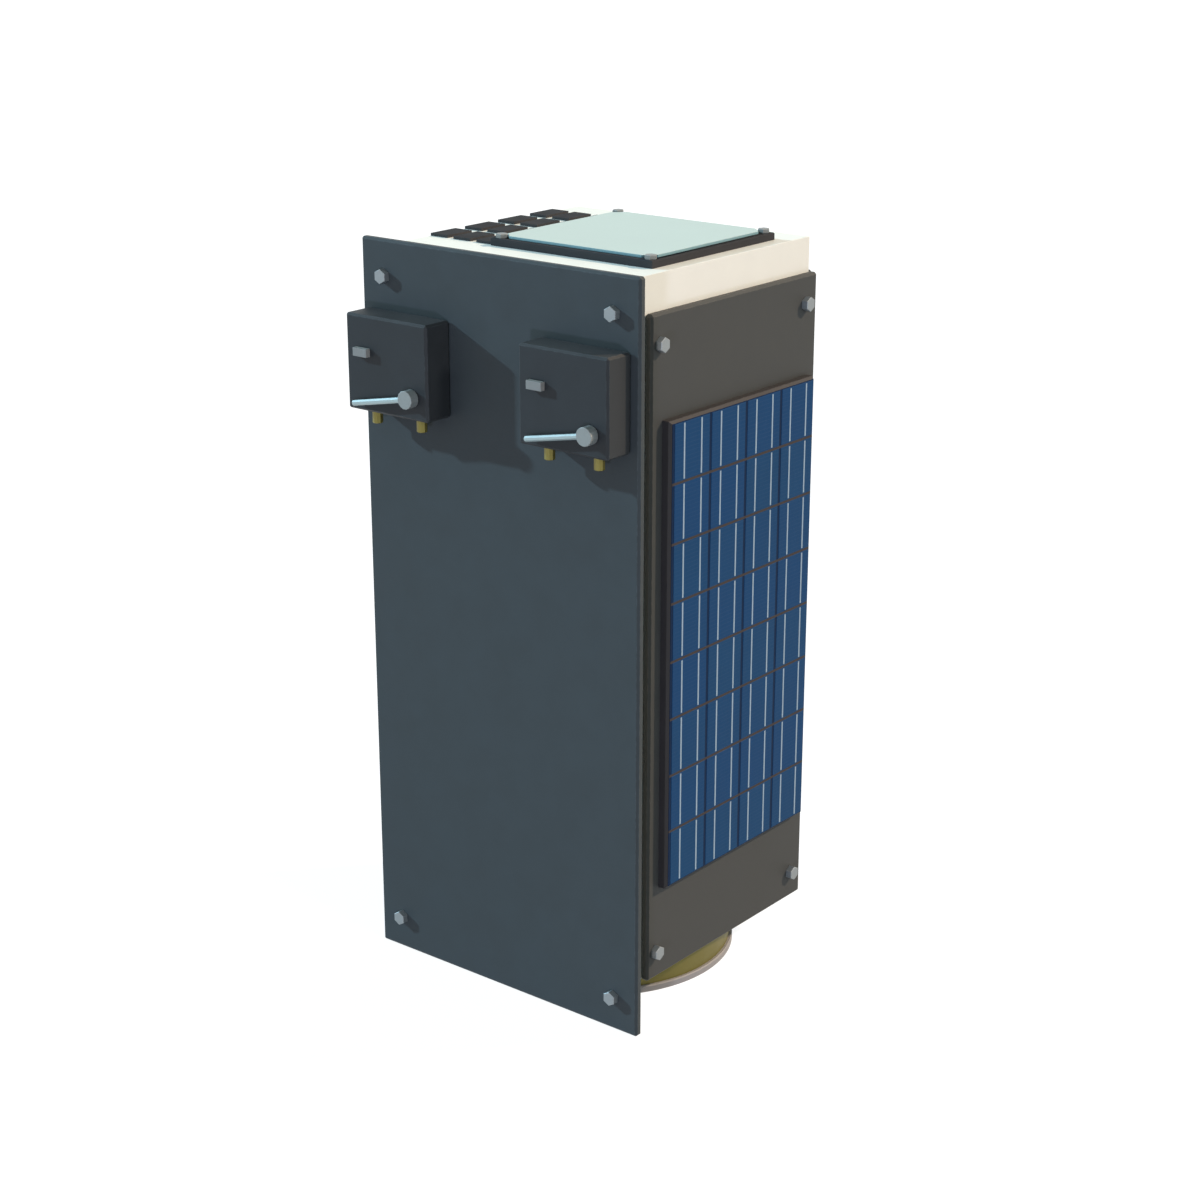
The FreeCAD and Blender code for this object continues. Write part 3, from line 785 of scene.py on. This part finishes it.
HOUSING_EASE = 0.15 * MM
PLATE_EASE = 0.1 * MM
MODULE_SIDES = ("right", "left", "rear")

eased_solid("body_shell", HOUSING_EASE, housing_white)
eased_solid("front_plate", PLATE_EASE, front_paint)
for side in MODULE_SIDES:
    eased_solid(f"{side}_plate", PLATE_EASE, side_paint)

# %% [markdown]
# ## Hexagon bolts
#
# A forged hexagon head has soft rims. It could be a prism with a bevel, but a stack of four
# hexagons gives the same with fewer faces: one drawn in a little where it meets the plate,
# the two ends of the flats, and the top, drawn in by the eased rim. The shank is a plain
# bar that runs down its hole out of sight.

# %% Bolt parts

HEAD_EASE = 0.16 * MM
FOOT_SHARE = 0.97
FOOT_HEIGHT = 0.6 * HEAD_EASE


def add_bolt_head(mesh, centre, turn, corner_radius, height, point_up):
    """A hexagon head with an eased top rim, along the turned z axis."""
    place = Matrix.Translation(centre) @ turn
    profile = [
        (corner_radius * FOOT_SHARE, 0.0),
        (corner_radius, FOOT_HEIGHT),
        (corner_radius, height - HEAD_EASE),
        (corner_radius - HEAD_EASE, height),
        (0, height),
    ]
    add_turned(mesh, profile, 6, place, phase=0.5 if point_up else 0.0)


def add_shank(mesh, centre, turn, radius, end, sides):
    """A shank from the head's foot down to a height below it, along the turned z axis."""
    profile = [(0, end), (radius, end), (radius, 0)]
    add_turned(mesh, profile, sides, Matrix.Translation(centre) @ turn)


# %% [markdown]
# ## Bolts of the plates
#
# Each plate is held at its corners, and its heads stand with a point up. Their places and
# widths come from their solids, so a bolt that moves in the model moves here too.

# %% Plate bolts

PLATE_HEAD_HEIGHT = 2.0 * MM
PLATE_SHANK_RADIUS = 1.0 * MM


def plate_bolts(side, node):
    """The four bolts of a plate, each as high as its solid."""
    mesh = bmesh.new()
    turn = side_turn(side)
    for box in solid_boxes(node):
        low, high = side_span(side, box)
        middle = (low + high) / 2
        foot = turn @ Vector((middle.x, middle.y, high.z - PLATE_HEAD_HEIGHT))
        radius = (high.y - low.y) / 2
        add_bolt_head(mesh, foot, turn, radius, PLATE_HEAD_HEIGHT, point_up=True)
        end = low.z - high.z + PLATE_HEAD_HEIGHT
        add_shank(mesh, foot, turn, PLATE_SHANK_RADIUS, end, sides=16)
    finish_piece(f"{node}_heads", mesh, "root", bolt_steel, replaces=(node,))


for side in SIDES:
    plate_bolts(side, f"{side}_plate_bolts")

# %% [markdown]
# ## Solar cells on their board
#
# Each module is a dark laminate board with four strings of eight cells. An array modifier
# could repeat one cell, but the solids already say where each of them lies. The tone hops
# through the steps of a short scale, so that no two neighbours match.

# %% Cells

CELL_EASE = 0.05 * MM
TONE_STEP = 7
TONE_COUNT = 11


def module_spans(side):
    """The spans of a module's cells, and the span of its board."""
    cells = [side_span(side, box) for box in solid_boxes(f"{side}_solar_cells")]
    board = side_span(side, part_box(f"{side}_solar_panel"))
    return cells, board


def make_cells(side, cells):
    """The cells, with a tone for each that hops from one to the next."""
    mesh = bmesh.new()
    turn = side_turn(side)
    for low, high in cells:
        outline = rectangle(low.x, low.y, high.x, high.y)
        add_prism(mesh, outline, low.z, high.z, turn, ease=CELL_EASE, steps=1)
    piece = finish_piece(
        f"{side}_cells", mesh, "root", cell_blue, replaces=(f"{side}_solar_cells",),
    )
    tone = piece.data.attributes.new("cell_tone", "FLOAT", "FACE")
    faces_per_cell = len(piece.data.polygons) // len(cells)
    for face in piece.data.polygons:
        cell = face.index // faces_per_cell
        tone.data[face.index].value = (cell * TONE_STEP % TONE_COUNT) / (TONE_COUNT - 1)


# %% [markdown]
# ## Silver bars
#
# Two soldered bars run up each cell and stop short of its ends. They are real metal with a
# thickness, so they are thin prisms, sunk halfway into the cell, and not painted lines.

# %% Busbars

BUSBAR_PLACES = (0.285, 0.749)
BUSBAR_WIDTH = 0.6 * MM
BUSBAR_STOP = 0.35 * MM
BUSBAR_RISE = 0.03 * MM


def make_busbars(side, cells, pitch, first):
    """Two bars up each cell, at set shares of the pitch from the string's left edge."""
    mesh = bmesh.new()
    turn = side_turn(side)
    for low, high in cells:
        column = round((low.x - first) / pitch)
        for share in BUSBAR_PLACES:
            centre = first + (column + share) * pitch
            outline = rectangle(
                centre - BUSBAR_WIDTH / 2, low.y + BUSBAR_STOP,
                centre + BUSBAR_WIDTH / 2, high.y - BUSBAR_STOP,
            )
            add_prism(mesh, outline, high.z - BUSBAR_RISE, high.z + BUSBAR_RISE, turn)
    finish_piece(f"{side}_busbars", mesh, "root", busbar_silver)


# %% [markdown]
# ## Painted shade and light between the cells
#
# A navy sheet covers the board's flat face inside its bevelled rim, and shows between the
# strings as painted shade, for the cells' sides that face away from the light. Between the
# cells of a string, a brown line crosses it as painted light, for the cells' lit upper
# edges. The gaps between the cells give the lines, which lie a little higher than the sheet.

# %% Sheet and lines

BOARD_BEVEL = 0.75 * MM
SHEET_MARGIN = 0.02 * MM
SHEET_RISE = 0.12 * MM
LINE_RISE = 0.16 * MM
PLACE_DIGITS = 7


def make_sheet(side, cells, board):
    """The navy painted-shade sheet on the board, and brown painted-light lines between the
    cells.
    """
    turn = side_turn(side)
    face = board[1].z
    rim = BOARD_BEVEL + SHEET_MARGIN
    # A navy sheet of painted shade, and brown lines of painted light between the cells.
    sheet = bmesh.new()
    outline = rectangle(
        board[0].x + rim, board[0].y + rim, board[1].x - rim, board[1].y - rim,
    )
    add_prism(sheet, outline, face - SHEET_RISE, face + SHEET_RISE, turn)
    finish_piece(f"{side}_painted_shade_sheet", sheet, "root", shade_sheet_navy)
    edges_y = sorted({
        round(value, PLACE_DIGITS) for low, high in cells for value in (low.y, high.y)
    })
    last_edge = max(high.x for low, high in cells)
    lines = bmesh.new()
    for low_y, high_y in zip(edges_y[1::2], edges_y[2::2]):
        outline = rectangle(board[0].x + rim, low_y, last_edge, high_y)
        add_prism(lines, outline, face, face + LINE_RISE, turn)
    finish_piece(f"{side}_cell_lines", lines, "root", lit_edge_brown)


# %% [markdown]
# ## Three modules
#
# The same steps dress the right, left and rear modules. The pitch from string to string is
# measured on the cells, and the first string starts half a gap before its first cell.

# %% Modules

BOARD_EASE = 0.08 * MM

for side in MODULE_SIDES:
    eased_solid(f"{side}_solar_panel", BOARD_EASE, board_laminate)
    cells, board = module_spans(side)
    lows = sorted({round(low.x, PLACE_DIGITS) for low, high in cells})
    pitch = lows[1] - lows[0]
    gap = pitch - (cells[0][1].x - cells[0][0].x)
    make_cells(side, cells)
    make_busbars(side, cells, pitch, lows[0] - gap / 2)
    make_sheet(side, cells, board)

# %% [markdown]
# ## Hub of a lever
#
# Each deployment switch has a lever on a hub. The hub and its rod turn together, so they
# ride on the lever's own body, while the pin inside stays fixed. The hub is faceted like a
# small knob, and that is what breaks its highlight into strips. A boolean could cut its
# bore, but in a turned profile the bore is only three points.

# %% Hub

HUB_SIDES = 16
HUB_EASE = 0.14 * MM
HUB_CAP = 0.8 * MM
PIN_CLEARANCE = 0.05 * MM


def make_hub(hand):
    """A faceted hub with a bore for its pin and a closed cap."""
    low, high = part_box(f"{hand}_lever_hub")
    pin_low, pin_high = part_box(f"{hand}_pivot_pin")
    centre_x = (pin_low.x + pin_high.x) / 2
    centre_z = (low.z + high.z) / 2
    radius = high.x - centre_x
    length = high.y - low.y
    bore = (pin_high.x - pin_low.x) / 2 + PIN_CLEARANCE
    depth = length - HUB_CAP
    profile = [
        (0, depth), (bore, depth), (bore, 0), (radius - HUB_EASE, 0), (radius, HUB_EASE),
        (radius, length - HUB_EASE), (radius - HUB_EASE, length), (0, length),
    ]
    turn = side_turn("front")
    centre = Vector((centre_x, high.y, centre_z))
    mesh = bmesh.new()
    add_turned(mesh, profile, HUB_SIDES, Matrix.Translation(centre) @ turn, phase=0.5)
    finish_piece(
        f"{hand}_hub", mesh, f"{hand}_lever", hub_metal,
        replaces=(f"{hand}_lever_hub",),
    )
    return centre


# %% [markdown]
# ## Rod of a lever
#
# The rod starts in its socket in the hub, points left and droops a little. Its angle isn't
# typed in: the box of its solid and the place of the hub give it.

# %% Rod

ROD_SIDES = 8
ROD_EASE = 0.2 * MM
ROD_START = 1.65 * MM


def make_rod(hand, hub_centre):
    """The rod from its socket to its tip, along the line that its solid takes."""
    low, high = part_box(f"{hand}_lever_rod")
    radius = (high.y - low.y) / 2
    plane = (high.y + low.y) / 2
    pivot = Vector((hub_centre.x, plane, hub_centre.z))
    droop = math.atan2(pivot.z - (low.z + radius), pivot.x - low.x)
    direction = Vector((-math.cos(droop), 0, -math.sin(droop)))
    reach = (pivot.x - low.x - radius * math.sin(droop)) / math.cos(droop)
    profile = [
        (0, ROD_START), (radius, ROD_START), (radius, reach - ROD_EASE),
        (radius - ROD_EASE, reach), (0, reach),
    ]
    turn = direction.to_track_quat("Z", "Y").to_matrix().to_4x4()
    mesh = bmesh.new()
    add_turned(mesh, profile, ROD_SIDES, Matrix.Translation(pivot) @ turn, phase=0.5)
    finish_piece(
        f"{hand}_rod", mesh, f"{hand}_lever", lever_metal,
        replaces=(f"{hand}_lever_rod",),
    )
    print("droop in degrees:", round(math.degrees(droop), 1))
    print("reach in mm:", round(reach / MM, 1))


# %% [markdown]
# ## Terminals
#
# Two gold posts hang below each case. They don't turn, so they ride on the root. Only their
# lower ends show, and only those are eased.

# %% Posts

POST_SIDES = 10
POST_EASE = 0.2 * MM


def make_posts(hand):
    """The two posts under a case, eased at their lower ends."""
    node = f"{hand}_switch_terminals"
    mesh = bmesh.new()
    for low, high in solid_boxes(node):
        radius = (high.x - low.x) / 2
        centre = Vector(((low.x + high.x) / 2, (low.y + high.y) / 2, low.z))
        height = high.z - low.z
        profile = [
            (0, 0), (radius - POST_EASE, 0), (radius, POST_EASE), (radius, height), (0, height),
        ]
        add_turned(mesh, profile, POST_SIDES, Matrix.Translation(centre), phase=0.5)
    finish_piece(f"{hand}_posts", mesh, "root", post_gold, replaces=(node,))


# %% [markdown]
# ## Two switches
#
# A moulded case and its small stop block keep the outlines of their solids. Moulded edges
# are softer than milled ones, so they are eased a little more than the plates are.

# %% Switches

CASE_EASE = 0.12 * MM
BLOCK_EASE = 0.15 * MM

for hand in ("left", "right"):
    eased_solid(f"{hand}_switch_case", CASE_EASE, case_plastic)
    eased_solid(f"{hand}_switch_block", BLOCK_EASE, block_plastic)
    make_rod(hand, make_hub(hand))
    make_posts(hand)

# %% [markdown]
# ## Mounting ring
#
# Below the housing a gold collar stands on a silver flange. Both are turned parts, with
# bolt holes through the flange and tapped holes above them in the collar. Their solids are
# right as they are, and so are the levers' pins, so all of them keep their own: only the
# shading is smoothed around the curves.

# %% Ring and pins

CREASE_ANGLE = math.radians(30)


def dress_solid(node, material):
    """Keep a node's own solid and give it a finish."""
    thing = frame["nodes"][node]
    thing.data.materials.clear()
    thing.data.materials.append(material)
    thing.data.shade_smooth()
    thing.data.set_sharp_from_angle(angle=CREASE_ANGLE)
    print(node, "keeps its solid")


dress_solid("base_flange", ring_silver)
dress_solid("base_neck", ring_gold)
dress_solid("left_pivot_pin", bolt_steel)
dress_solid("right_pivot_pin", bolt_steel)

# %% [markdown]
# ## Patch antenna
#
# The patch antenna is a dark square frame with a thick glass pane on it. All of the pane's
# edges are eased, in three steps, because a ground glass edge is rounder than a cut one.

# %% Antenna frame and glass

FRAME_EASE = 0.12 * MM
PANE_EASE = 0.12 * MM


def make_glass():
    """The pane, with every edge eased in three steps."""
    node = "antenna_glass"
    mesh = whole_faces(node)
    bmesh.ops.bevel(
        mesh, geom=list(mesh.edges), offset=PANE_EASE, segments=3, profile=BEVEL_PROFILE,
        affect="EDGES",
    )
    finish_piece("antenna_pane", mesh, "root", aqua_glass, replaces=(node,))


eased_solid("antenna_frame", FRAME_EASE, frame_plastic)
make_glass()

# %% [markdown]
# ## Bolts of the antenna
#
# Four small upright bolts hold the frame at its corners. They are made of the same parts as
# the plates' bolts, without a turn, since their own axis is already z.

# %% Antenna bolts

ANTENNA_HEAD_HEIGHT = 1.2 * MM
ANTENNA_SHANK_RADIUS = 0.8 * MM


def make_antenna_bolts():
    """The four upright bolts at the frame's corners."""
    node = "antenna_bolts"
    mesh = bmesh.new()
    turn = Matrix.Identity(4)
    for low, high in solid_boxes(node):
        middle = (low + high) / 2
        foot = Vector((middle.x, middle.y, high.z - ANTENNA_HEAD_HEIGHT))
        radius = (high.x - low.x) / 2
        add_bolt_head(mesh, foot, turn, radius, ANTENNA_HEAD_HEIGHT, point_up=False)
        add_shank(mesh, foot, turn, ANTENNA_SHANK_RADIUS, low.z - foot.z, sides=12)
    finish_piece(
        "antenna_heads", mesh, "root", antenna_bolt_steel, replaces=(node,),
    )


make_antenna_bolts()

# %% [markdown]
# ## Deck tiles
#
# Beside the antenna lie rows of thin dark tiles. Their rows stand well apart, so that the
# white deck shows between them. A tile is so thin that one step of easing is enough.

# %% Tiles

TILE_EASE = 0.06 * MM
TILE_EDGE = 0.5 * MM

eased_solid("deck_tiles", TILE_EASE, tile_black, shortest=TILE_EDGE, steps=1)

# %% [markdown]
# ## Floor
#
# The studio floor is a quiet grey to the light it bounces, but the camera and reflections
# see it as white, with the satellite's faint shadow still on it. A plain white floor would
# be simpler, and would flood the dark plates from below.

# %% Floor

scene = bpy.context.scene
WHITE = (1.0, 1.0, 1.0, 1.0)
FLOOR_HALF = 8.0
FLOOR_GREY = (0.24, 0.24, 0.24, 1.0)
FLOOR_GLOW = 0.90


def white_for_view(tree):
    """1 for camera, glossy and transmitted rays, and 0 for the light that bounces."""
    path = tree.add("ShaderNodeLightPath").outputs
    seen = tree.math("MAXIMUM", path["Is Camera Ray"], path["Is Glossy Ray"])
    return tree.math("MAXIMUM", seen, path["Is Transmission Ray"])


def make_floor():
    """A grey floor that glows white for the camera and for reflections."""
    mesh = bmesh.new()
    corners = rectangle(-FLOOR_HALF, -FLOOR_HALF, FLOOR_HALF, FLOOR_HALF)
    mesh.faces.new([mesh.verts.new((x, y, 0)) for x, y in corners])
    data = bpy.data.meshes.new("floor")
    mesh.to_mesh(data)
    mesh.free()
    floor = bpy.data.objects.new("floor", data)
    scene.collection.objects.link(floor)
    material, tree, shader = new_material("Studio floor")
    shader.inputs["Base Color"].default_value = FLOOR_GREY
    shader.inputs["Roughness"].default_value = 1.0
    shader.inputs["Specular IOR Level"].default_value = 0.0
    shader.inputs["Emission Color"].default_value = WHITE
    glow = tree.math("MULTIPLY", white_for_view(tree), FLOOR_GLOW)
    tree.feed(shader.inputs["Emission Strength"], glow)
    data.materials.append(material)


make_floor()

# %% [markdown]
# ## Sky
#
# The same trick serves the world: a weak, cool sky fills the shadows, and the view behind
# the satellite is plain white.

# %% World

SKY_TINT = (0.64, 0.90, 1.0, 1.0)
SKY_STRENGTH = 0.30


def make_world():
    """A weak, cool sky for the light that bounces, and plain white for the view."""
    world = bpy.data.worlds.new("Studio")
    scene.world = world
    world.use_nodes = True
    tree = Tree(world.node_tree)
    background = world.node_tree.nodes["Background"]
    white = white_for_view(tree)
    tree.feed(background.inputs["Color"], tree.mix(white, SKY_TINT, WHITE))
    tree.feed(background.inputs["Strength"], tree.fit(white, 0.0, 1.0, SKY_STRENGTH, 1.0))


make_world()

# %% [markdown]
# ## Lamps
#
# A warm lamp stands behind on the right and a cool one on the left. Both are far away, so
# they are suns, with a small disc that softens the shadows. A third, weak sun from the right
# lifts the shadows on the side plate and on the hubs. A weak panel close to the floor in
# front fills in the rest, and lights the plate from below.

# %% Lamps

PANEL_SIZE = 0.05


def hang_lamp(name, data, color, towards):
    """Put a lamp's data in the scene so that its light comes from a direction."""
    data.color = color
    lamp = bpy.data.objects.new(name, data)
    lamp.rotation_euler = towards.to_track_quat("Z", "Y").to_euler()
    scene.collection.objects.link(lamp)
    return lamp


def add_sun(name, towards, color, strength, disc):
    """A sun that shines from a direction, with its disc's angle in degrees."""
    data = bpy.data.lights.new(name, "SUN")
    data.energy = strength * math.pi
    data.angle = math.radians(disc)
    hang_lamp(name, data, color, Vector(towards))


def add_panel(name, place, target, color, strength):
    """A small square panel that lights a white surface at its target to a strength."""
    towards = Vector(place) - Vector(target)
    data = bpy.data.lights.new(name, "AREA")
    data.size = PANEL_SIZE
    data.energy = strength * math.pi ** 2 * towards.length_squared
    lamp = hang_lamp(name, data, color, towards)
    lamp.location = place
    lamp.visible_camera = False


add_sun(
    "warm_rear_right", towards=(1.0, 1.10, 1.05), color=(1.0, 0.79, 0.61), strength=0.90, disc=2,
)
add_sun(
    "cool_left", towards=(-2.50, -1.0, 1.17), color=(0.52, 0.80, 1.0), strength=1.0, disc=1.5,
)
add_sun(
    "right_fill", towards=(1.0, -0.15, 0.40), color=(0.94, 0.93, 0.98), strength=0.14, disc=6,
)
add_panel(
    "front_fill", place=(0.372, -0.906, 0.04), target=(0.03, -0.05, 0.12),
    color=(0.66, 0.71, 1.0), strength=0.28,
)

# %% [markdown]
# ## Camera
#
# A long lens from the front right, a little above, shows the front plate, the right side and
# the deck at once. The place and angles are plain numbers, in metres and degrees.

# %% Camera

scene.view_settings.view_transform = "Standard"
lens = bpy.data.cameras.new("camera")
lens.lens = 70.17
lens.sensor_width = 36.0
camera = bpy.data.objects.new("camera", lens)
camera.location = (0.41751, -0.521325, 0.33715)
camera.rotation_euler = (math.radians(71.3012), 0.0, math.radians(38.6801))
scene.collection.objects.link(camera)
scene.camera = camera
